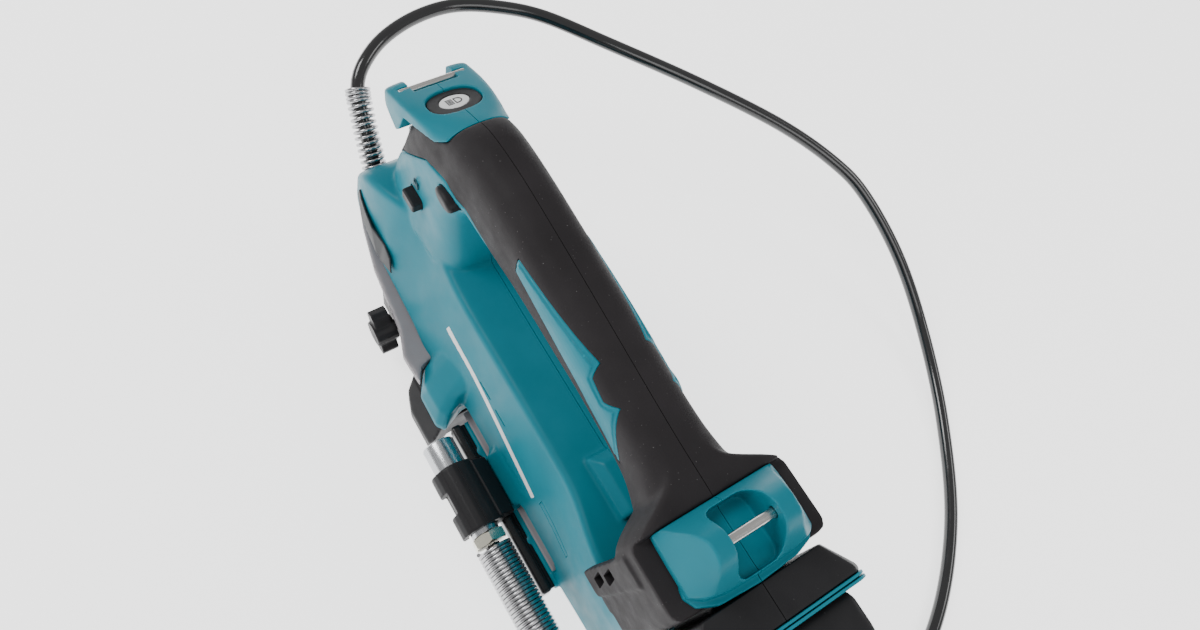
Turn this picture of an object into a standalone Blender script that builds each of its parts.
"""Battery grease gun: D-handle housing, pump head, cartridge barrel, battery and a stored hose.

The frame: +X points forward to the pump head, +Y to the tool's left, +Z up. The origin is the
middle of the front foot's flat underside. All sizes below are millimetres.
"""
import math

import bmesh
import bpy
from mathutils import Matrix, Vector

MM = 0.001
GAP = 0.3
PART_LINE = GAP / 2

# Driving dimensions
REAR_X = -199.0
RUBBER = 2.5
BARREL_Z, BARREL_RADIUS, BARREL_BORE = 33.0, 28.5, 27.0
BARREL_FRONT_X, BARREL_REAR_X = 58.0, -247.0
CAP_RADIUS = 33.0
DRIVE_Z = 88.0
GEAR_MODULE = 1.0
SUN_TEETH, PLANET_TEETH, RING_TEETH = 9, 15, 39
PLANET_ORBIT = GEAR_MODULE * (SUN_TEETH + PLANET_TEETH) / 2
SHAFT_RADIUS = 2.5
CRANK = 7.0
PUMP_X = 68.0
STRAP_BAR_RADIUS = 2.4
FRONT_BAR = Vector((109.0, 0.0, 195.0))
REAR_BAR = Vector((-181.0, 0.0, 230.0))
BUTTON_CENTRE = Vector((83.0, 0.0, 206.6))
COVER_SLOPE = math.atan2(27.5, 59.0)
HOLDER_Y, HOLDER_Z = 70.0, 45.0
HOLDER_BORE = 10.1
HOSE_RADIUS = 4.7
BATTERY_FRONT_X, BATTERY_REAR_X = -226.0, -289.0
BATTERY_LOW_Z, BATTERY_TOP_Z = 86.0, 200.0

# The hose's own route, from the outlet fitting to the nut in the holder.
HOSE_ROUTE = [
    (144.5, 23.3, 72.1), (163, 20, 90), (177, 17, 101), (190, 13, 110), (200, 3, 117),
    (211, -16, 121), (217, -42, 124), (216, -70, 125), (205, -98, 124), (186, -126, 122),
    (149, -158, 119), (100, -209, 106), (52, -257, 90), (12, -286, 77), (-20, -300, 65),
    (-70, -308, 42), (-126, -303, 17), (-190, -275, 5.8), (-252, -228, 5.2), (-298, -170, 5.2),
    (-322, -105, 5.2), (-326, -42, 5.6), (-312, 14, 9.5), (-284, 54, 22), (-248, 70, 37),
    (-215, 70.5, 44), (-185, 70, 45), (-150, 70, 45), (-107.6, 70, 45),
]
HOSE_STEPS = 78
OUTLET = Vector(HOSE_ROUTE[0])
OUTLET_WAY = (Vector(HOSE_ROUTE[1]) - OUTLET).normalized()

TEAL = (0.02, 0.23, 0.30, 1)
RUBBER_BLACK = (0.035, 0.034, 0.036, 1)
DARK = (0.02, 0.02, 0.022, 1)
STEEL = (0.62, 0.63, 0.64, 1)
CAST = (0.45, 0.46, 0.47, 1)
BRASS = (0.70, 0.52, 0.22, 1)
COPPER = (0.60, 0.27, 0.14, 1)
GREEN = (0.02, 0.16, 0.07, 1)
CLEAR = (0.80, 0.84, 0.86, 1)

PLANES = {
    "XY": Matrix.Identity(4),
    "XZ": Matrix(((1, 0, 0, 0), (0, 0, -1, 0), (0, 1, 0, 0), (0, 0, 0, 1))),
    "YZ": Matrix(((0, 0, 1, 0), (1, 0, 0, 0), (0, 1, 0, 0), (0, 0, 0, 1))),
}


# ---------------------------------------------------------------- scene and helpers
def clear_scene():
    for obj in list(bpy.data.objects):
        bpy.data.objects.remove(obj)


def new_collection(name):
    made = bpy.data.collections.new(name)
    bpy.context.scene.collection.children.link(made)
    return made


clear_scene()
PARTS = new_collection("grease_gun")
CUTTERS = new_collection("cutters")


def material(name, colour, roughness, metallic=0.0):
    made = bpy.data.materials.new(name)
    made.use_nodes = True
    shader = made.node_tree.nodes["Principled BSDF"]
    shader.inputs["Base Color"].default_value = colour
    shader.inputs["Roughness"].default_value = roughness
    shader.inputs["Metallic"].default_value = metallic
    return made


TEAL_PLASTIC = material("teal_plastic", TEAL, 0.42)
GRIP_RUBBER = material("grip_rubber", RUBBER_BLACK, 0.75)
DARK_PLASTIC = material("dark_plastic", DARK, 0.5)
CLEAR_PLASTIC = material("clear_plastic", CLEAR, 0.15)
BRIGHT_STEEL = material("bright_steel", STEEL, 0.25, 1.0)
CAST_METAL = material("cast_metal", CAST, 0.5, 1.0)
BRASS_METAL = material("brass_metal", BRASS, 0.35, 1.0)
COPPER_WIRE = material("copper_wire", COPPER, 0.4, 1.0)
BOARD = material("circuit_board", GREEN, 0.5)
HOSE_RUBBER = material("hose_rubber", DARK, 0.25)
PAD_RUBBER = material("pad_rubber", (0.06, 0.065, 0.07, 1), 0.7)


def add_object(name, mesh, look, where=PARTS):
    made = bpy.data.objects.new(name, mesh)
    where.objects.link(made)
    if look:
        made.data.materials.append(look)
    return made


def finish_mesh(name, built, look, where, smooth):
    bmesh.ops.recalc_face_normals(built, faces=built.faces)
    mesh = bpy.data.meshes.new(name)
    built.to_mesh(mesh)
    built.free()
    made = add_object(name, mesh, look, where)
    if smooth:
        mesh.shade_smooth()
        mesh.set_sharp_from_angle(angle=math.radians(35))
    return made


def hidden(obj):
    """Turns an object into a cutter that no render shows."""
    obj.hide_render = True
    obj.display_type = "WIRE"
    return obj


def boolean(target, other, operation, solver="EXACT"):
    made = target.modifiers.new(operation.lower(), "BOOLEAN")
    made.object = other
    made.operation = operation
    made.solver = solver
    return target


def join(target, *others):
    for other in others:
        boolean(target, other, "UNION")
    return target


def join_closed(target, *others):
    """Joins closed solids where the exact solver leaves gaps."""
    for other in others:
        boolean(target, other, "UNION", "MANIFOLD")
    return target


def cut(target, *others):
    for other in others:
        boolean(target, other, "DIFFERENCE")
    return target


def cut_closed(target, *others):
    """Cuts the long-chained shells, where the exact solver finds nothing left."""
    for other in others:
        boolean(target, other, "DIFFERENCE", "MANIFOLD")
    return target


def keep(target, other):
    return boolean(target, other, "INTERSECT")


def bevel(obj, width, segments=1, angle=35):
    made = obj.modifiers.new("bevel", "BEVEL")
    made.width = width * MM
    made.segments = segments
    made.limit_method = "ANGLE"
    made.angle_limit = math.radians(angle)
    return obj


def box(name, low, high, look=None, where=PARTS):
    low, high = Vector(low), Vector(high)
    built = bmesh.new()
    place = Matrix.Diagonal((*((high - low) * MM), 1))
    bmesh.ops.create_cube(built, size=1, matrix=place)
    made = finish_mesh(name, built, look, where, False)
    made.location = (low + high) / 2 * MM
    return made


def cut_box(name, low, high):
    return hidden(box(name, low, high, None, CUTTERS))


def towards(direction):
    return Vector((0, 0, 1)).rotation_difference(Vector(direction)).to_euler()


def rod(name, start, end, radius, look=None, where=PARTS, sides=16):
    """A plain cylinder between two points."""
    start, end = Vector(start), Vector(end)
    built = bmesh.new()
    bmesh.ops.create_cone(
        built, cap_ends=True, segments=sides, radius1=radius * MM, radius2=radius * MM,
        depth=(end - start).length * MM,
    )
    made = finish_mesh(name, built, look, where, True)
    made.location = (start + end) / 2 * MM
    made.rotation_euler = towards(end - start)
    return made


def cut_rod(name, start, end, radius, sides=20):
    return hidden(rod(name, start, end, radius, None, CUTTERS, sides))


def turned(name, profile, origin, direction, look=None, steps=24, closed=True, where=PARTS):
    """A turned shape from (radius, height) points, its height running along the direction."""
    doubled = sum(a[0] * b[1] - b[0] * a[1] for a, b in zip(profile, profile[1:] + profile[:1]))
    ordered = profile if doubled < 0 else profile[::-1]
    mesh = bpy.data.meshes.new(name)
    points = [(r * MM, 0, h * MM) for r, h in ordered]
    edges = [(i, i + 1) for i in range(len(points) - 1)]
    if closed:
        edges.append((len(points) - 1, 0))
    mesh.from_pydata(points, edges, [])
    made = add_object(name, mesh, look, where)
    made.location = Vector(origin) * MM
    made.rotation_euler = towards(direction)
    screw = made.modifiers.new("turn", "SCREW")
    screw.axis = "Z"
    screw.steps = steps
    screw.render_steps = steps
    screw.use_merge_vertices = True
    screw.merge_threshold = 0.0000005
    screw.use_smooth_shade = True
    return made


def curve_mesh(curve, name, look, where):
    """The curve object as a welded mesh object, the curve itself removed."""
    bpy.context.view_layer.update()
    graph = bpy.context.evaluated_depsgraph_get()
    mesh = bpy.data.meshes.new_from_object(curve.evaluated_get(graph))
    built = bmesh.new()
    built.from_mesh(mesh)
    bpy.data.meshes.remove(mesh)
    bmesh.ops.transform(built, matrix=curve.matrix_world, verts=built.verts)
    bmesh.ops.remove_doubles(built, verts=built.verts, dist=0.000001)
    bpy.data.objects.remove(curve)
    return finish_mesh(name, built, look, where, False)


def outline(name, points, plane, low, high, look=None, where=PARTS):
    """A flat outline drawn in a plane, given thickness from low to high along the plane's normal."""
    data = bpy.data.curves.new(name + "_outline", "CURVE")
    data.dimensions = "2D"
    data.fill_mode = "BOTH"
    data.extrude = (high - low) / 2 * MM
    spline = data.splines.new("POLY")
    spline.points.add(len(points) - 1)
    for point, (u, v) in zip(spline.points, points):
        point.co = (u * MM, v * MM, 0, 1)
    spline.use_cyclic_u = True
    curve = bpy.data.objects.new(name + "_outline", data)
    CUTTERS.objects.link(curve)
    turn = PLANES[plane]
    normal = {"XY": Vector((0, 0, 1)), "XZ": Vector((0, 1, 0)), "YZ": Vector((1, 0, 0))}[plane]
    curve.matrix_world = Matrix.Translation(normal * (low + high) / 2 * MM) @ turn
    return curve_mesh(curve, name, look, where)


def cut_outline(name, points, plane, low, high):
    return hidden(outline(name, points, plane, low, high, None, CUTTERS))


def arc(centre, radius, start, end, steps):
    """Points on an arc, its angles in degrees."""
    angles = [math.radians(start + (end - start) * i / steps) for i in range(steps + 1)]
    return [(centre[0] + radius * math.cos(a), centre[1] + radius * math.sin(a)) for a in angles]


def ellipse(centre, half_u, half_v, steps=20):
    turns = [2 * math.pi * i / steps for i in range(steps)]
    return [(centre[0] + half_u * math.cos(a), centre[1] + half_v * math.sin(a)) for a in turns]


def loft(name, rings, look=None, where=PARTS):
    """A closed solid through rings of equally many points, with a flat cap at each end."""
    built = bmesh.new()
    made_rings = [[built.verts.new(Vector(p) * MM) for p in ring] for ring in rings]
    for near, far in zip(made_rings, made_rings[1:]):
        for i in range(len(near)):
            j = (i + 1) % len(near)
            built.faces.new((near[i], near[j], far[j], far[i]))
    built.faces.new(made_rings[0])
    built.faces.new(made_rings[-1])
    return finish_mesh(name, built, look, where, True)


def smooth_route(route, count):
    """Evenly spaced points on a smooth curve through the route's own points."""
    points = [Vector(p) for p in route]
    points = [points[0] * 2 - points[1]] + points + [points[-1] * 2 - points[-2]]
    fine = []
    for a, b, c, d in zip(points, points[1:], points[2:], points[3:]):
        for i in range(12):
            t = i / 12
            fine.append(
                0.5 * (2 * b + (c - a) * t + (2 * a - 5 * b + 4 * c - d) * t ** 2
                       + (3 * b - a - 3 * c + d) * t ** 3)
            )
    fine.append(points[-2])
    runs = [0.0]
    for a, b in zip(fine, fine[1:]):
        runs.append(runs[-1] + (b - a).length)
    spaced = []
    for k in range(count):
        want = runs[-1] * k / (count - 1)
        i = min(max(sum(1 for r in runs if r < want), 1), len(runs) - 1)
        share = (want - runs[i - 1]) / (runs[i] - runs[i - 1])
        spaced.append(fine[i - 1].lerp(fine[i], share))
    return spaced


def tube(name, points, radius, look, rounding=2):
    """A round rod or wire along a list of points."""
    data = bpy.data.curves.new(name, "CURVE")
    data.dimensions = "3D"
    data.bevel_depth = radius * MM
    data.bevel_resolution = rounding
    data.use_fill_caps = True
    spline = data.splines.new("POLY")
    spline.points.add(len(points) - 1)
    for point, place in zip(spline.points, points):
        point.co = (*(Vector(place) * MM), 1)
    made = bpy.data.objects.new(name, data)
    PARTS.objects.link(made)
    made.data.materials.append(look)
    return made


def sleeve(name, points, outer, inner, look, sides=12):
    """A bent sleeve, open at both ends, around a list of points."""
    built = bmesh.new()
    points = [Vector(p) for p in points]
    rings = []
    for i, place in enumerate(points):
        along = points[min(i + 1, len(points) - 1)] - points[max(i - 1, 0)]
        turn = along.to_track_quat("Z", "Y")
        for radius in (outer, inner):
            ring = []
            for k in range(sides):
                a = 2 * math.pi * k / sides
                offset = turn @ Vector((radius * math.cos(a), radius * math.sin(a), 0))
                ring.append(built.verts.new((place + offset) * MM))
            rings.append(ring)
    outside, inside = rings[0::2], rings[1::2]
    for wall in (outside, inside):
        for near, far in zip(wall, wall[1:]):
            for i in range(sides):
                j = (i + 1) % sides
                built.faces.new((near[i], near[j], far[j], far[i]))
    for end in (0, -1):
        for i in range(sides):
            j = (i + 1) % sides
            built.faces.new((outside[end][i], outside[end][j], inside[end][j], inside[end][i]))
    return finish_mesh(name, built, look, PARTS, True)


def gear_outline(teeth, outward=True):
    """Points of a gear's outline about its own centre. A ring gear's teeth point inward."""
    pitch = GEAR_MODULE * teeth / 2
    tip, root = (0.75, 1.05) if outward else (-0.75, -1.05)
    points = []
    for i in range(teeth):
        middle = 2 * math.pi * i / teeth
        half_root, half_tip = 0.31 * 2 * math.pi / teeth, 0.12 * 2 * math.pi / teeth
        for turn, reach in (
            (-half_root, -root), (-half_tip, tip), (half_tip, tip), (half_root, -root),
        ):
            radius = pitch + reach * GEAR_MODULE
            points.append((radius * math.cos(middle + turn), radius * math.sin(middle + turn)))
    return points


def shifted(points, centre, turn=0.0):
    c, s = math.cos(turn), math.sin(turn)
    return [(centre[0] + x * c - y * s, centre[1] + x * s + y * c) for x, y in points]


# ---------------------------------------------------------------- housing envelopes
BODY_STATIONS = [
    # x, bottom z, lower half-width, upper half-width, top z
    (-199, 34, 44, 38, 117),
    (-150, 32, 45, 36, 117),
    (-112, 32, 46, 29, 117),
    (-20, 32, 46, 28, 117),
    (16, 50, 49, 28, 118),
    (94, 50, 45.5, 29, 117),
    (126, 50, 43, 38, 108),
    (141, 50, 39.5, 36, 86),
    (153, 52, 35, 31, 66),
]
POST_SLICES = [
    # z, rear x, front x, half-width
    (108, 28, 127, 28),
    (130, 34, 121, 26.5),
    (150, 38, 113, 25.5),
    (166, 38, 108, 24.5),
    (182, 30, 103, 23.5),
    (198, 16, 96, 22),
    (216, 8, 74, 18),
]
GRIP_STATIONS = [
    # x, underside z, top z, half-width
    (78, 178, 214, 21),
    (43, 174, 228.5, 21),
    (15, 174, 230, 20.5),
    (-21, 177, 227.5, 20),
    (-90, 177, 220, 20),
    (-128, 172, 216, 21),
    (-152, 160, 215, 25),
    (-176, 150, 214, 27),
]
FLANK_SLICES = [
    # z, front x, rear x, half-width
    (108, -143, -199, 42),
    (125, -142, -199, 42),
    (165, -140, -199, 40.5),
    (186, -132, -199, 39.5),
    (214.5, -142, -199, 36),
]


def body_envelope(name, side, inset, start=PART_LINE, low=None, where=CUTTERS):
    rings = []
    for x, z0, lower, upper, top in BODY_STATIONS:
        x = max(min(x, BODY_STATIONS[-1][0] - inset), REAR_X + inset)
        floor = (z0 + min(inset, 0)) if low is None else low
        corner = 3 if low is None else 0
        half = [
            (start, floor), (lower - inset - corner, floor), (lower - inset, z0 + 3),
            (upper - inset + 1.5, top - inset - 5), (upper - inset - 3, top - inset),
            (start, top - inset),
        ]
        rings.append([(x, side * y, z) for y, z in half])
    return loft(name, rings, None, where)


def post_envelope(name, side, inset, start=PART_LINE):
    rings = []
    for z, rear, front, half in POST_SLICES:
        rear, front, half = rear + inset, front - inset, half - inset
        plan = [
            (rear, start), (rear, half - 6), (rear + 6, half), (front - 9, half),
            (front - 3, half - 3), (front, half - 11), (front, start),
        ]
        rings.append([(x, side * y, z) for x, y in plan])
    return loft(name, rings, None, CUTTERS)


def grip_envelope(name, side, inset, start=PART_LINE):
    rings = []
    for x, under, top, half in GRIP_STATIONS:
        under, top, half = under + inset, top - inset, half - inset
        middle = (under + top) / 2 - 2
        high, deep = top - middle, middle - under
        ring = [(start, top), (3.0, top)]
        for degrees in (66, 44, 20, -8, -36, -64):
            a = math.radians(degrees)
            rise, squareness = (high, 0.72) if degrees > 0 else (deep, 0.4)
            ring.append(
                (half * abs(math.cos(a)) ** squareness,
                 middle + rise * math.copysign(abs(math.sin(a)) ** 0.72, a))
            )
        ring.append((start, under))
        rings.append([(x, side * y, z) for y, z in ring])
    return loft(name, rings, None, CUTTERS)


def flank_envelope(name, side, inset, start=PART_LINE, low=0.0):
    rings = []
    for i, (z, front, rear, half) in enumerate(FLANK_SLICES):
        front, rear, half = front - inset, rear + inset, half - inset
        z = z - low if i == 0 else z - (inset if i == len(FLANK_SLICES) - 1 else 0)
        plan = [
            (front, start), (front, 14), (front - 5, 20), (front - 15, half - 5),
            (front - 24, half), (rear + 5, half), (rear, half - 5), (rear, start),
        ]
        rings.append([(x, side * y, z) for x, y in plan])
    return loft(name, rings, None, CUTTERS)


def teal_region():
    """Side view of the shell that stays uncovered: the body and the trigger panel."""
    return [
        (-199.5, 20), (165, 20), (165, 126), (119, 126), (112, 139), (104, 150), (92, 163),
        (71, 184), (50, 191.5), (29, 188), (5, 182), (-24, 178), (-24, 150), (-130, 150),
        (-139.5, 122), (-150, 110), (-163, 113), (-166, 108), (-178, 108), (-181, 113),
        (-199.5, 113),
    ]


def rubber_region():
    """Side view of the overmoulded grip, kept a gap away from the uncovered shell."""
    return [
        (-199.5, 113.4), (-180.6, 113.4), (-177.6, 108.4), (-166.4, 108.4), (-163.4, 113.4),
        (-149.8, 110.4), (-139.2, 122.3), (-130, 150.4), (-130, 160), (-24.4, 160),
        (-24.4, 178.4), (4.9, 182.4), (28.9, 188.4), (50.2, 191.9), (71.3, 184.4),
        (92.3, 163.4), (104.3, 150.3), (112.3, 139.3), (119.3, 126.4), (135, 126.4),
        (135, 160), (101.6, 176.2), (56.6, 215.4), (55, 240), (-161.6, 240), (-161.6, 206.8),
        (-199.5, 206.8),
    ]


# ---------------------------------------------------------------- shells
RAIL_PAD = [(43.4, 34), (47.2, 34), (46.6, 42), (41.6, 58), (40, 57)]
FLARE_RINGS = (
    # z, then the plan from the front inner corner round to the rear inner corner
    (30.2, [(15.7, 44), (15.7, 49.4), (13.9, 54.9), (4.2, 61), (1, 63), (-21, 63.6), (-26.6, 59.6), (-19, 44)]),
    (36.0, [(15.7, 44), (15.7, 49.4), (13.9, 54.9), (4.2, 61), (1, 63), (-21, 63.2), (-26.2, 59.2), (-19, 44)]),
    (46.0, [(15.7, 44), (15.7, 49.4), (13.4, 53.8), (4, 59), (-2, 59.4), (-17, 59), (-23, 55.5), (-19, 44)]),
    (56.0, [(15.7, 40), (15.2, 46.8), (12, 49), (4, 51), (-2, 51), (-13, 50.6), (-18.5, 48), (-19, 40)]),
    (69.0, [(12, 34), (11.5, 38), (10, 39.6), (4, 40.3), (-2, 40.3), (-10, 40), (-16, 38), (-19, 34)]),
)
GUSSET_RINGS = (
    # z, front x, half-width
    (112.0, -101, 13.5), (119.5, -103, 13.5), (124.0, -110, 8),
)


def flare(side, word):
    """The skirt that spreads from the flank over the front foot."""
    rings = [[(x, side * y, z) for x, y in plan] for z, plan in FLARE_RINGS]
    return hidden(loft(f"flare_{word}", rings, None, CUTTERS))


def gusset(side, word):
    """The low web across the rear of the hand opening."""
    rings = []
    for z, front, wide in GUSSET_RINGS:
        plan = [(front, PART_LINE), (front, wide), (-141.4, wide), (-141.4, PART_LINE)]
        rings.append([(x, side * y, z) for x, y in plan])
    return hidden(loft(f"gusset_{word}", rings, None, CUTTERS))


def housing_half(side):
    word = "left" if side > 0 else "right"
    shell = body_envelope("housing_" + word, side, 0, where=PARTS)
    shell.data.materials.append(TEAL_PLASTIC)
    core = RUBBER + GAP
    panel = post_envelope(f"panel_{word}", side, 0)
    panel_grip = grip_envelope(f"panel_grip_{word}", side, 0)
    region = cut_outline(f"panel_region_{word}", teal_region(), "XZ", -60, 60)
    join(panel, panel_grip)
    keep(panel, region)
    hidden(panel)
    hidden(panel_grip)
    cores = [
        post_envelope(f"post_core_{word}", side, core),
        grip_envelope(f"grip_core_{word}", side, core),
        flank_envelope(f"flank_core_{word}", side, core, low=6),
    ]
    for part in cores:
        hidden(part)
    join(shell, panel, *cores, flare(side, word), gusset(side, word))
    wall = 3.0
    pockets = [
        body_envelope(f"body_pocket_{word}", side, wall, start=-2, low=20),
        post_envelope(f"post_pocket_{word}", side, core + wall, start=-2),
        grip_envelope(f"grip_pocket_{word}", side, core + wall, start=-2),
        flank_envelope(f"flank_pocket_{word}", side, core + wall, start=-2, low=14),
    ]
    for part in pockets:
        hidden(part)
    cut(shell, *pockets)
    cut_closed(shell, SLOPE_CUT, TRIGGER_SLOT, LOCK_HOLE, LENS_HOLE)
    cut_closed(shell, OUTLET_HOLE, OUTLET_MOUTH, COVER_SEAT)
    cut_closed(shell, BARREL_ROOM, *WINDOWS)
    if side > 0:
        join_closed(shell, cut_outline("rail_pad", RAIL_PAD, "YZ", -92, -57))
        join_closed(shell, cut_box("rail_base", (-148, 43.2, 26), (-28, 47, 34.1)))
        for i, x in enumerate((-115.0, -50.0)):
            join_closed(shell, cut_box(f"rail_clip_{i}", (x - 2, 46.8, 28), (x + 2, 49.3, 33.5)))
        cut_closed(shell, LOCK_ON_HOLE)
    else:
        cut_closed(shell, *SCREW_HOLES)
    return shell


def grip_half(side):
    word = "left" if side > 0 else "right"
    shell = grip_envelope("grip_rubber_" + word, side, 0)
    CUTTERS.objects.unlink(shell)
    PARTS.objects.link(shell)
    shell.data.materials.append(GRIP_RUBBER)
    outers = [
        post_envelope(f"post_rubber_{word}", side, 0),
        flank_envelope(f"flank_rubber_{word}", side, 0),
    ]
    inners = [
        post_envelope(f"post_under_{word}", side, RUBBER, start=-2),
        grip_envelope(f"grip_under_{word}", side, RUBBER, start=-2),
        flank_envelope(f"flank_under_{word}", side, RUBBER, start=-2, low=20),
        body_envelope(f"body_under_{word}", side, -GAP, start=-2),
    ]
    for part in outers + inners:
        hidden(part)
    join(shell, *outers)
    keep(shell, cut_outline(f"rubber_region_{word}", rubber_region(), "XZ", -60, 60))
    cut(shell, *inners)
    low, high = (8, 40) if side > 0 else (-40, -8)
    cut(shell, cut_outline(f"insert_hole_{word}", grown(INSERT_OUTLINE, GAP), "XZ", low, high))
    cut(shell, TRIGGER_SLOT, LENS_HOLE)
    return shell


INSERT_OUTLINE = [
    (-18, 214.5), (-19, 205.5), (-124, 188.5), (-106.5, 213.5), (-99, 208.3), (-87, 211),
    (-84, 217.5),
]


def grown(points, by):
    """The outline with each of its edges moved outwards."""
    doubled = sum(a[0] * b[1] - b[0] * a[1] for a, b in zip(points, points[1:] + points[:1]))
    sign = 1 if doubled > 0 else -1
    moved = []
    for before, here, after in zip(points[-1:] + points[:-1], points, points[1:] + points[:1]):
        into = (Vector(here) - Vector(before)).normalized()
        out = (Vector(after) - Vector(here)).normalized()
        first, second = (Vector((d.y, -d.x)) * sign for d in (into, out))
        middle = (first + second).normalized()
        moved.append(tuple(Vector(here) + middle * by / max(middle.dot(first), 0.3)))
    return moved


def grip_insert(side):
    word = "left" if side > 0 else "right"
    low, high = (8.5, 40) if side > 0 else (-40, -8.5)
    insert = outline(f"grip_insert_{word}", INSERT_OUTLINE, "XZ", low, high, TEAL_PLASTIC)
    keep(insert, hidden(grip_envelope(f"insert_outer_{word}", side, -0.4)))
    cut(insert, hidden(grip_envelope(f"insert_inner_{word}", side, RUBBER, start=-2)))
    return insert


def front_cover(side):
    word = "left" if side > 0 else "right"
    rings = []
    top = [(57.2, 221.6), (62, 219.8), (117, 194.2), (119.5, 191)]
    under = [(104, 178.4), (100, 178.4), (57.2, 216.2)]
    for y, drop in ((PART_LINE, 0.0), (18, 0.3), (22.5, 1.2), (25, 3.5)):
        ring = [(x, side * y, z - drop) for x, z in top]
        rings.append(ring + [(x, side * y, z) for x, z in under])
    cover = loft(f"front_cover_{word}", rings, TEAL_PLASTIC)
    notch = [(103.5, 170), (130, 170), (130, 205), (106, 205), (103.5, 202)]
    low, high = (-1, 14) if side > 0 else (-14, 1)
    cut_closed(cover, cut_outline(f"strap_notch_{word}", notch, "XZ", low, high), BUTTON_WELL)
    bar_hole = cut_rod(
        f"front_bar_hole_{word}", FRONT_BAR - Vector((0, 20, 0)), FRONT_BAR + Vector((0, 20, 0)),
        STRAP_BAR_RADIUS + GAP,
    )
    return cut_closed(cover, bar_hole)


def rear_cover(side):
    word = "left" if side > 0 else "right"
    stations = [
        # x, hump half-width, hump top z, edge half-width, edge z
        (-162, 30, 215.5, 34, 213),
        (-171, 23, 231, 34, 214),
        (-181, 20.5, 238, 34, 214),
        (-190, 21, 233, 34, 213),
        (-200.5, 26, 214, 34, 210),
    ]
    rings = []
    for x, hump, top, edge, edge_z in stations:
        half = [(PART_LINE, 207.2), (edge, 207.2), (edge, edge_z), (hump, top), (PART_LINE, top)]
        rings.append([(x, side * y, z) for y, z in half])
    cover = loft(f"rear_cover_{word}", rings, TEAL_PLASTIC)
    opening = (
        arc((-171, 8), 5, 0, 90, 3) + arc((-191, 8), 5, 90, 180, 3)
        + arc((-191, -8), 5, 180, 270, 3) + arc((-171, -8), 5, 270, 360, 3)
    )
    cut(cover, cut_outline(f"strap_opening_{word}", opening, "XY", 212, 250))
    bar_hole = cut_rod(
        f"rear_bar_hole_{word}", REAR_BAR - Vector((0, 18, 0)), REAR_BAR + Vector((0, 18, 0)),
        STRAP_BAR_RADIUS + GAP,
    )
    return cut(cover, bar_hole)


def slope_point(forward, rise):
    """A point on the light button's own slope, forward along it and rise above it."""
    c, s = math.cos(COVER_SLOPE), math.sin(COVER_SLOPE)
    return BUTTON_CENTRE + Vector((forward * c + rise * s, 0, rise * c - forward * s))


def slope_disc(name, half_long, half_wide, low, high, look=None, where=PARTS):
    made = outline(name, ellipse((0, 0), half_long, half_wide), "XY", low, high, look, where)
    made.location = BUTTON_CENTRE * MM
    made.rotation_euler = (0, COVER_SLOPE, 0)
    return made


# ---------------------------------------------------------------- shared cutters
SLOPE_CUT = cut_outline(
    "slope_cut", [(56.6, 260), (56.6, 215.1), (101.4, 175.9), (160, 150), (160, 260)],
    "XZ", -60, 60,
)
TRIGGER_SLOT = cut_box("trigger_slot", (-20.2, -8.1, 155), (28.3, 8.1, 187.3))
LOCK_HOLE = cut_box("lock_hole", (70.7, -60, 135.7), (85.3, 60, 144.3))
BUTTON_WELL = hidden(slope_disc("button_well", 9.6, 15.6, -7, 30, None, CUTTERS))
OUTLET_HOLE = cut_rod("outlet_hole", OUTLET - OUTLET_WAY * 44, OUTLET, 9.0)
OUTLET_MOUTH = cut_rod("outlet_mouth", OUTLET - OUTLET_WAY * 9.5, OUTLET + OUTLET_WAY * 20, 10.5)
COVER_SEAT = cut_box("cover_seat", (-210, -60, 206.8), (-161.6, 60, 260))
LENS_HOLE = cut_box("lens_hole", (96, -11.3, 141.7), (130, 11.3, 152.3))
LOCK_ON_HOLE = hidden(outline(
    "lock_on_hole", ellipse((46, 181.5), 9.3, 5.3), "XZ", 10, 40, None, CUTTERS))
BARREL_ROOM = cut_rod("barrel_room", (-240, 0, BARREL_Z), (40, 0, BARREL_Z), BARREL_RADIUS + 1, 28)
WINDOWS = [
    cut_outline(f"window_{i}", points, "XZ", -60, 60)
    for i, points in enumerate((
        [(-57, 34.3), (-19.5, 34.3)] + arc((-26.5, 40), 7, 0, 90, 3) + [(-57, 47)],
        [(-140, 34.3), (-93, 34.3), (-93, 47)] + arc((-133, 40), 7, 90, 180, 3),
    ))
]
SCREW_PLACES = [(-186, 70), (20, 82)]
SCREW_HOLES = [
    cut_rod(f"screw_hole_{i}", (x, -60, z), (x, -24, z), 3.6, 12)
    for i, (x, z) in enumerate(SCREW_PLACES)
]


def make_shells():
    for side in (1, -1):
        housing_half(side)
        grip_half(side)
        grip_insert(side)
        front_cover(side)
        rear_cover(side)
        head_pad(side)
    for name, place, half in (("front_strap_bar", FRONT_BAR, 20), ("rear_strap_bar", REAR_BAR, 17.5)):
        rod(name, place - Vector((0, half, 0)), place + Vector((0, half, 0)), STRAP_BAR_RADIUS,
            BRIGHT_STEEL)
    for i, (x, z) in enumerate(SCREW_PLACES):
        head = body_half_width(x, z) - 1.0
        profile = [(0, 0), (0, 13), (1.6, 13), (1.6, 3), (3.1, 3), (3.1, 0)]
        turned(f"housing_screw_{i + 1}", profile[1:] + profile[:1], (x, -head, z), (0, 1, 0),
               DARK_PLASTIC, steps=12, closed=False)


def body_half_width(x, z):
    """Half-width of the body's flank at one place."""
    for near, far in zip(BODY_STATIONS, BODY_STATIONS[1:]):
        if near[0] <= x <= far[0]:
            share = (x - near[0]) / (far[0] - near[0])
            z0, lower, upper, top = (a + (b - a) * share for a, b in zip(near[1:], far[1:]))
            rise = (z - z0 - 3) / (top - 5 - z0 - 3)
            return lower + (upper + 1.5 - lower) * rise
    return 0.0


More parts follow.
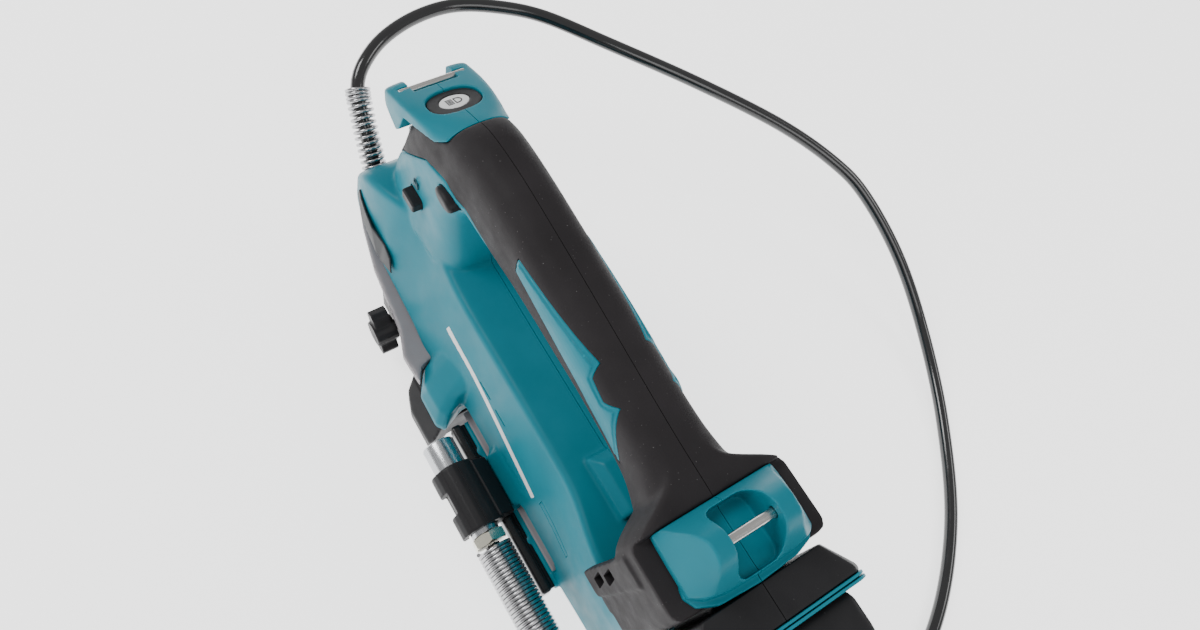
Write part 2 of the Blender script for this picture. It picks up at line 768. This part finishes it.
def head_pad(side):
    """The soft strip let into the head's flank."""
    word = "left" if side > 0 else "right"
    strip = [(131, 86), (135, 76), (124, 62), (92, 57), (78, 62), (84, 70), (118, 78)]
    low, high = (10, 60) if side > 0 else (-60, -10)
    pad = outline(f"head_pad_{word}", strip, "XZ", low, high, PAD_RUBBER)
    keep(pad, hidden(body_envelope(f"pad_outer_{word}", side, -1.9, low=40)))
    return cut(pad, hidden(body_envelope(f"pad_inner_{word}", side, -0.7, start=-2, low=30)))


# ---------------------------------------------------------------- controls
def make_controls():
    light = slope_disc("light_button", 9.0, 15.0, -5, 2.2, DARK_PLASTIC)
    bevel(light, 0.8)
    lens = box("lamp_lens", (105.5, -11, 142), (118.6, 11, 152), CLEAR_PLASTIC)
    bevel(lens, 1.0)
    bar = box("trigger_lock", (71, -29, 136), (85, 32, 144), DARK_PLASTIC)
    bevel(bar, 0.8)
    button = outline("lock_on_button", ellipse((46, 181.5), 9, 5), "XZ", 14.8, 26.2, DARK_PLASTIC)
    bevel(button, 0.8)
    trigger_side = (
        [(-19, 174), (-19, 178.5), (27, 178.5), (27, 170)] + arc((21, 166), 5, 0, -80, 3)
        + [(6, 163.5), (-10, 166)]
    )
    trigger = outline("trigger", trigger_side, "XZ", -7.5, 7.5, DARK_PLASTIC)
    bevel(trigger, 1.2)
    spring_points = [
        (4 + 3.2 * math.cos(a), 3.2 * math.sin(a), 179.5 + 9.0 * a / (2 * math.pi * 4))
        for a in [2 * math.pi * i / 8 for i in range(33)]
    ]
    tube("trigger_spring", spring_points, 0.45, BRIGHT_STEEL, 0)
    switch = box("trigger_switch", (-22, -8, 190), (30, 8, 208), DARK_PLASTIC)
    bevel(switch, 1)
    box("control_board", (-120, -13, 196), (-40, 13, 198), BOARD)


# ---------------------------------------------------------------- motor and gears
def along_x(name, profile, look, steps=24, closed=True, start=0.0):
    """A piece turned about the drive line. Profile heights are X places."""
    return turned(name, profile, (start, 0, DRIVE_Z), (1, 0, 0), look, steps, closed)


def ring_profile(inner, outer, low, high):
    return [(inner, low), (outer, low), (outer, high), (inner, high)]


def make_motor():
    can = [(21, -96), (21, -42), (8.4, -42), (8.4, -44.5), (17.8, -44.5), (17.8, -96)]
    along_x("motor_can", can, DARK_PLASTIC)
    along_x("motor_bearing", ring_profile(SHAFT_RADIUS + GAP, 8, -121, -116), BRIGHT_STEEL, 16)
    rotor = along_x(
        "motor_rotor",
        [(0, -123), (SHAFT_RADIUS, -123), (SHAFT_RADIUS, -92), (16.8, -92), (16.8, -54),
         (SHAFT_RADIUS, -54), (SHAFT_RADIUS, -22), (0, -22)], COPPER_WIRE, 16, closed=False,
    )
    sun = shifted(gear_outline(SUN_TEETH), (0, DRIVE_Z))
    join(rotor, cut_outline("sun_teeth", sun, "YZ", -33, -21))
    fan = along_x("cooling_fan", ring_profile(SHAFT_RADIUS + GAP, 18, -102, -99.5), DARK_PLASTIC)
    for i in range(8):
        a = 2 * math.pi * i / 8
        blade = cut_box(f"fan_blade_{i}", (-110, -0.8, 6), (-100, 0.8, 18))
        offset = Vector((0, -12 * math.sin(a), 12 * math.cos(a)))
        blade.location = (Vector((-105, 0, DRIVE_Z)) + offset) * MM
        blade.rotation_euler = (a, 0, 0)
        join(fan, blade)


def make_gearbox():
    ring = along_x("ring_gear", [(22.2, -36), (22.2, -18), (16, -18), (16, -36)], BRIGHT_STEEL, 26)
    inner = shifted(gear_outline(RING_TEETH, outward=False), (0, DRIVE_Z), math.pi / RING_TEETH)
    cut(ring, cut_outline("ring_teeth", inner, "YZ", -40, -10))
    carrier = along_x(
        "planet_carrier",
        [(0, 52), (11, 52), (11, 46), (6, 46), (6, -16.5), (15.5, -16.5), (15.5, -20.4), (0, -20.4)],
        BRIGHT_STEEL, 20, closed=False,
    )
    for i in range(3):
        a = 2 * math.pi * i / 3
        y, z = PLANET_ORBIT * math.sin(a), DRIVE_Z + PLANET_ORBIT * math.cos(a)
        join(carrier, cut_rod(f"planet_pin_{i}", (-33, y, z), (-18, y, z), 2.0, 10))
        planet = gear_outline(PLANET_TEETH)
        # Turned so that its teeth stand in the sun's gaps and the ring's gaps.
        towards_sun = math.atan2(-math.cos(a), -math.sin(a))
        sun_phase = (towards_sun + math.pi) / (2 * math.pi / SUN_TEETH) % 1
        turn = towards_sun - (0.5 - sun_phase) * 2 * math.pi / PLANET_TEETH
        gear = outline(
            f"planet_gear_{i + 1}", shifted(planet, (y, z), turn), "YZ", -33, -21.2, BRIGHT_STEEL)
        cut(gear, cut_rod(f"planet_bore_{i}", (-40, y, z), (-10, y, z), 2.3, 10))
    join(carrier, cut_rod("crank_pin", (50, 0, DRIVE_Z + CRANK), (59.5, 0, DRIVE_Z + CRANK), 3, 12))
    case = [
        (24, -38), (24, -6), (12, -2), (12, 42), (6.3, 42), (6.3, -15.5), (22.5, -15.5), (22.5, -38),
    ]
    along_x("gear_case", case, CAST_METAL, 28)


# ---------------------------------------------------------------- pump head
def make_head():
    half = [
        (16.2, 50), (14.4, 55.3), (4.6, 61.5), (27, 62.4), (44, 56.5), (94, 51), (126, 43.8),
        (146, 37.6), (152.2, 31),
    ]
    plan = half + [(x, -y) for x, y in reversed(half)]
    head = outline("head_casting", plan, "XY", 41.5, 49.6, CAST_METAL)
    side = [
        (62, 6), (66, 3), (120, 3), (138, 9), (149, 24), (149, 43), (44, 43), (44, 20),
    ]
    block = cut_outline("head_block", side, "XZ", -33, 33)
    collar = cut_rod("head_collar", (28, 0, BARREL_Z), (59.7, 0, BARREL_Z), 32.7, 28)
    tower = cut_box("pump_tower", (60, -13, 40), (76, 13, 60.5))
    boss = cut_rod("outlet_boss", OUTLET - OUTLET_WAY * 40, OUTLET - OUTLET_WAY * 8.6, 8.0)
    join(head, block, collar, tower, boss)
    socket = cut_rod(
        "barrel_socket", (-20, 0, BARREL_Z), (BARREL_FRONT_X + GAP, 0, BARREL_Z),
        BARREL_RADIUS + GAP, 28)
    plunger_bore = cut_rod("plunger_bore", (PUMP_X, 0, 30), (PUMP_X, 0, 90), 4.3, 12)
    grease_way = cut_rod("grease_way", (52, 0, BARREL_Z), (PUMP_X, 0, BARREL_Z), 3.5, 8)
    outlet_way = cut_rod("outlet_way", (PUMP_X, 0, 28), (132, 0, 28), 3.0, 8)
    valve_bore = cut_rod("valve_bore", (130, 0, 26), (170, 0, 26), 8.3, 12)
    bleed_bore = cut_rod("bleed_bore", (104, -60, 26), (104, -22, 26), 4.3, 12)
    knob_bore = cut_rod("knob_bore", (KNOB.x, 29.6, KNOB.z), (KNOB.x, 80, KNOB.z), 4.3, 12)
    outlet_bore = cut_rod("outlet_bore", OUTLET - OUTLET_WAY * 20, OUTLET, 5.3, 12)
    cut(head, socket, plunger_bore, grease_way, outlet_way, valve_bore, bleed_bore, knob_bore, outlet_bore)
    plunger = rod("pump_plunger", (PUMP_X, 0, 52), (PUMP_X, 0, 78), 4.0, BRIGHT_STEEL, sides=12)
    yoke = cut_box("yoke_plate", (60, -13, 76), (76, 13, 100.5))
    pin_z = DRIVE_Z + CRANK
    slot = cut_box("yoke_slot", (58, -10.5, pin_z - 3.3), (80, 10.5, pin_z + 3.3))
    join(plunger, yoke)
    cut(plunger, slot)
    hex_turned("check_valve_plug", (132, 0, 26), (1, 0, 0), 8.0, 17.2, 9.2, 7.0, BRASS_METAL)
    bleed = [(0, 0), (3.9, 0), (3.9, 12), (6, 12), (6, 18), (0, 18)]
    turned("bleed_valve", bleed, (104, -22.5, 26), (0, -1, 0), BRASS_METAL, 12, closed=False)


def hex_turned(name, origin, direction, thread, reach, across, head, look):
    """A fitting with a round thread and a hexagon head, built along its own axis."""
    direction = Vector(direction).normalized()
    origin = Vector(origin)
    made = rod(name, origin, origin + direction * (reach + 0.5), thread, look, sides=12)
    start = origin + direction * reach
    grip = cut_rod(name + "_hexagon", start, start + direction * head, across, 6)
    return join(made, grip)


KNOB = Vector((57.0, 0.0, 30.0))


def make_selector():
    """The two-lobed selector on the head's left side and the curved plate under it."""
    plate_plan = [(x, z) for x, z in arc((KNOB.x, KNOB.z), 19, 38, 322, 14)]
    plate = outline(
        "selector_plate", plate_plan + [(80, 19), (80, 40.9)], "XZ", 33.5, 52,
        DARK_PLASTIC)
    cut(plate, cut_rod("plate_bore", (KNOB.x, 22, KNOB.z), (KNOB.x, 80, KNOB.z), 4.3, 12))
    cut(plate, cut_box("plate_trim", (20, 20, 41.2), (100, 70, 70)))
    knob = turned(
        "selector_knob", [(0, 0), (4, 0), (4, 25), (9, 25), (9, 40), (0, 40)],
        (KNOB.x, 30, KNOB.z), (0, 1, 0), DARK_PLASTIC, 16, closed=False)
    lobe = [(-17, -3), (-14, -5.5), (14, -5.5), (17, -3), (17, 3), (14, 5.5), (-14, 5.5), (-17, 3)]
    turn = math.radians(62)
    lever = cut_outline("selector_lobes", shifted(lobe, (KNOB.x, KNOB.z), turn), "XZ", 57, 68.5)
    return join(knob, lever)


# ---------------------------------------------------------------- barrel and plunger
def make_barrel():
    def turned_x(name, profile, look, steps=28, closed=True):
        return turned(name, profile, (0, 0, BARREL_Z), (1, 0, 0), look, steps, closed)

    turned_x("barrel", [
        (BARREL_BORE, BARREL_REAR_X), (BARREL_RADIUS, BARREL_REAR_X),
        (BARREL_RADIUS, BARREL_FRONT_X), (BARREL_BORE, BARREL_FRONT_X)], CAST_METAL)
    turned_x("rear_cap", [
        (4.5, -260), (31, -260), (CAP_RADIUS, -258), (CAP_RADIUS, -242), (31, -240),
        (BARREL_RADIUS + GAP, -240), (BARREL_RADIUS + GAP, BARREL_REAR_X - GAP),
        (4.5, BARREL_REAR_X - GAP)], BRIGHT_STEEL)
    turned_x("plunger_rod", [(0, -268), (4, -268), (4, 40), (0, 40)], BRIGHT_STEEL, 12, closed=False)
    handle = rod("plunger_handle", (-272.5, -30, BARREL_Z), (-272.5, 30, BARREL_Z), 6,
                 DARK_PLASTIC, sides=12)
    cut(handle, cut_rod("rod_socket", (-274, 0, BARREL_Z), (-260, 0, BARREL_Z), 4.3, 12))
    turned_x("follower", [
        (4.3, 32), (20, 32), (26.4, 24), (26.6, 44), (22, 46), (4.3, 46)], DARK_PLASTIC, 24)
    turns = 11
    steps = turns * 8
    coil = [
        (-240 + 268 * i / steps, 21.5 * math.sin(2 * math.pi * i / 8),
         BARREL_Z + 21.5 * math.cos(2 * math.pi * i / 8))
        for i in range(steps + 1)
    ]
    tube("follower_spring", coil, 1.5, BRIGHT_STEEL, 0)
    saddle = arc((0, BARREL_Z), BARREL_RADIUS + GAP, 0, 180, 12) + [
        (-28.8, 30.2), (-41.4, 30.2), (-41.4, 33.2), (-39.4, 35.5), (-37.4, 47), (-31, 54), (-22, 60), (-12, 64), (12, 64), (22, 60), (31, 54),
        (37.4, 47), (39.4, 35.5), (41.4, 33.2), (41.4, 30.2), (28.8, 30.2)]
    outline("barrel_cradle", saddle, "YZ", -150, -22, CAST_METAL)


# ---------------------------------------------------------------- foot, rail and hose holder
def make_foot():
    section = (
        [(-70, 2), (-68, 0), (68, 0), (70, 2), (70, 14), (60, 27), (46, 29.5), (31.5, 29.5)]
        + arc((0, BARREL_Z), BARREL_RADIUS + GAP, -8, -172, 12)
        + [(-31.5, 29.5), (-46, 29.5), (-60, 27), (-70, 14)]
    )
    foot = outline("front_foot", section, "YZ", -26, 26, DARK_PLASTIC)
    half = [(25, 0), (25, 52), (14, 66), (-3, 71.5), (-24, 70.5), (-25.5, 66), (-20, 54), (-20, 0)]
    plan = half + [(x, -y) for x, y in reversed(half[1:-1])]
    keep(foot, cut_outline("foot_plan", plan, "XY", -10, 60))
    return foot


def make_rail():
    rail = box("side_rail", (-148, 49.6, 24), (-27.5, 56.4, 36), DARK_PLASTIC)
    return bevel(rail, 1.2)


def make_holder():
    centre = (HOLDER_Y, HOLDER_Z)
    section = arc(centre, 14, -25, 300, 20) + arc(centre, HOLDER_BORE, 300, -25, 14)
    clip = outline("hose_holder", section, "YZ", -97, -55, DARK_PLASTIC)
    shoe = [(56.7, 26), (61.5, 26), (61.5, 51), (57.5, 54), (47.6, 43.5), (47.6, 36.4), (56.7, 36.4)]
    join(clip, cut_outline("holder_shoe", shoe, "YZ", -95.5, -56.5))
    cut(clip, cut_rod("holder_bore", (-120, *centre), (-40, *centre), HOLDER_BORE))
    return cut(clip, cut_box("holder_notch", (-82.5, 80.3, 30), (-68, 90, 60)))


def make_hose():
    centre = Vector((0, HOLDER_Y, HOLDER_Z))

    def at(x):
        return centre + Vector((x, 0, 0))

    points = smooth_route(HOSE_ROUTE, HOSE_STEPS)
    tube("hose", points, HOSE_RADIUS, HOSE_RUBBER, 2)
    turned("coupler", [
        (0, -2), (8.8, -2), (8.8, 42), (9.6, 43), (9.6, 59), (8.6, 60), (2.2, 60), (2.2, 50), (0, 50)],
        at(-98), (1, 0, 0), BRIGHT_STEEL, 20, closed=False)
    nut = rod("hose_nut", at(-100.4), at(-107.2), 11, BRASS_METAL, sides=6)
    sleeve("hose_guard_rear", [at(x) for x in (-107.9, -150, -184)], 11.3, 8.6, BRIGHT_STEEL)
    reach = [points[0].lerp(points[1], 0.05)] + points[1:5]
    sleeve("hose_guard_front", reach, 8.5, 6.2, BRIGHT_STEEL)
    start = OUTLET - OUTLET_WAY * 17
    fitting = rod("outlet_fitting", start, start + OUTLET_WAY * 9, 5.0, BRASS_METAL, sides=12)
    join(fitting, cut_rod("outlet_hexagon", OUTLET - OUTLET_WAY * 8.3, OUTLET - OUTLET_WAY * GAP, 9, 6))
    return nut


# ---------------------------------------------------------------- battery
def make_battery():
    mount_rings = []
    for z, near, far in ((88, 34, 38), (110, 35, 42), (190, 36, 46), (203, 36, 46), (208, 33, 42)):
        plan = [(-203, near), (-219, far), (-222, far), (-222, -far), (-219, -far), (-203, -near)]
        mount_rings.append([(x, y, z) for x, y in plan])
    mount = loft("battery_mount", mount_rings, DARK_PLASTIC)
    neck = cut_box("mount_neck", (-204, -20, 120), (-199.2, 20, 190))
    join(mount, neck)
    cut(mount, cut_box("terminal_room", (-240, -18.3, 118), (-214, 18.3, 176.3)))
    terminals = box("terminal_block", (-225.5, -18, 119), (-214.4, 18, 176), DARK_PLASTIC)
    for i in range(3):
        y = -12 + 12 * i
        cut(terminals, cut_box(f"terminal_slot_{i}", (-230, y - 0.8, 126), (-217, y + 0.8, 170)))
    case = [
        (BATTERY_FRONT_X, BATTERY_LOW_Z + 4), (BATTERY_FRONT_X, BATTERY_TOP_Z - 2),
        (BATTERY_FRONT_X - 3, BATTERY_TOP_Z), (-252, BATTERY_TOP_Z), (-283, 194),
        (BATTERY_REAR_X, 186), (BATTERY_REAR_X, 94), (-283, BATTERY_LOW_Z),
        (BATTERY_FRONT_X - 4, BATTERY_LOW_Z),
    ]
    battery = outline("battery_case", case, "XZ", -37.5, 37.5, DARK_PLASTIC)
    bevel(battery, 3, 2, 60)
    cut(battery, cut_box("latch_room", (-256.3, -13.3, 191.7), (-234.7, 13.3, 230)))
    latch = box("battery_release", (-256, -13, 194), (-235, 13, 202.5), PAD_RUBBER)
    bevel(latch, 1)


make_shells()
make_controls()
make_motor()
make_gearbox()
make_head()
make_selector()
make_barrel()
make_foot()
make_rail()
make_holder()
make_hose()
make_battery()
